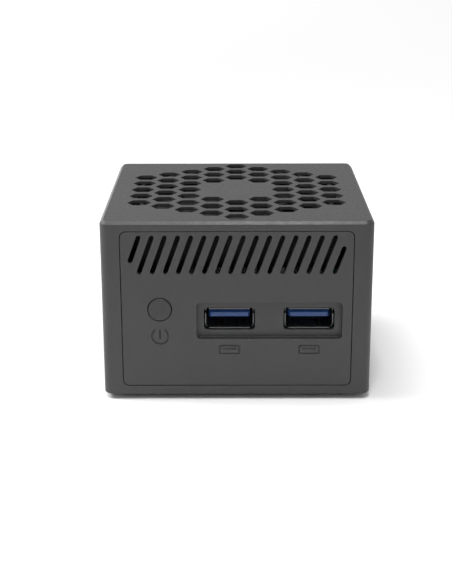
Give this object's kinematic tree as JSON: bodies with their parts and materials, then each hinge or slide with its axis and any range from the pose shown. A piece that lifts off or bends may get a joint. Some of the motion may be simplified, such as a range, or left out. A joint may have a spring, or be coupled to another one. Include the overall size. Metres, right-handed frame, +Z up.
{
  "type": "mini pc",
  "caption": "Palm-sized square desktop computer with a honeycomb fan grille on top, slanted vents, a round power button and a recess with data ports at the front.",
  "frame": {"origin": "on the table under the middle of the body, at the bottom face of the feet", "axes": "+X to the right seen from the front, +Y from front to rear, +Z up"},
  "size_m": [0.072, 0.0727, 0.0498],
  "materials": {
    "grey_plastic": "matt moulded plastic with a very fine grain",
    "black_plastic": "satin",
    "blue_plastic": "smooth",
    "rubber": "matt",
    "black_steel": "blackened",
    "steel": "bright nickel plate",
    "aluminium": "bead blasted",
    "gold": "gold flash",
    "copper": "enamelled copper",
    "board": "solder resist over glass fibre",
    "chip": "moulded epoxy",
    "ferrite": "sintered",
    "wire": "soft sheath"
  },
  "bodies": {
    "base_unit": {"housing": "grey_plastic", "front_panel": "grey_plastic", "rear_panel": "grey_plastic", "bottom_cover": "grey_plastic", "switch_body": "black_plastic", "fan_frame": "black_plastic", "hdmi_lower_core": "black_plastic", "hdmi_upper_core": "black_plastic", "dc_jack": "black_plastic", "drive_socket": "black_plastic", "battery_holder": "black_plastic", "usb_front_left_core": "blue_plastic", "usb_front_right_core": "blue_plastic", "usb_rear_lower_core": "blue_plastic", "usb_rear_upper_core": "blue_plastic", "foot_front_left": "rubber", "foot_front_right": "rubber", "foot_rear_left": "rubber", "foot_rear_right": "rubber", "cover_screw_front_left": "black_steel", "cover_screw_front_right": "black_steel", "cover_screw_rear_left": "black_steel", "cover_screw_rear_right": "black_steel", "fan_screw_front_left": "black_steel", "fan_screw_front_right": "black_steel", "fan_screw_rear_left": "black_steel", "fan_screw_rear_right": "black_steel", "usb_front_left_shell": "black_steel", "usb_front_right_shell": "black_steel", "board_screw_front_left": "steel", "board_screw_front_right": "steel", "board_screw_rear_left": "steel", "board_screw_rear_right": "steel", "heatsink_screw_front_left": "steel", "heatsink_screw_front_right": "steel", "heatsink_screw_rear_left": "steel", "heatsink_screw_rear_right": "steel", "drive_screw": "steel", "usb_rear_shell": "steel", "hdmi_shell": "steel", "ethernet_shield": "steel", "dc_jack_pin": "steel", "coin_cell": "steel", "radio_module": "steel", "heatsink": "aluminium", "ethernet_insert": "gold", "drive_standoff": "gold", "fan_stator": "copper", "aerial": "copper", "mainboard": "board", "drive": "board", "processor": "chip", "memory_chip_left": "chip", "memory_chip_right": "chip", "fan_lead": "wire", "aerial_lead": "wire"},
    "button": {"power_button": "grey_plastic"},
    "plunger": {"switch_plunger": "black_plastic"},
    "rotor": {"fan_rotor": "black_plastic", "fan_magnet_ring": "ferrite"}
  },
  "joints": [
    {"name": "power_button_press", "type": "slide", "parent": "base_unit", "child": "button", "axis": [0, 1, 0], "range_m": [0, 0.0004], "stiffness_N_per_m": 1200, "springref_m": -0.0005},
    {"name": "switch_plunger_press", "type": "slide", "parent": "base_unit", "child": "plunger", "axis": [0, 1, 0], "range_m": [0, 0.0004]},
    {"name": "fan_spin", "type": "hinge", "parent": "base_unit", "child": "rotor", "pos_m": [0, 0, 0.041], "axis": [0, 0, 1], "continuous": true}
  ],
  "couplings": [
    {"joint": "switch_plunger_press", "follows": "power_button_press", "ratio": 1}
  ]
}
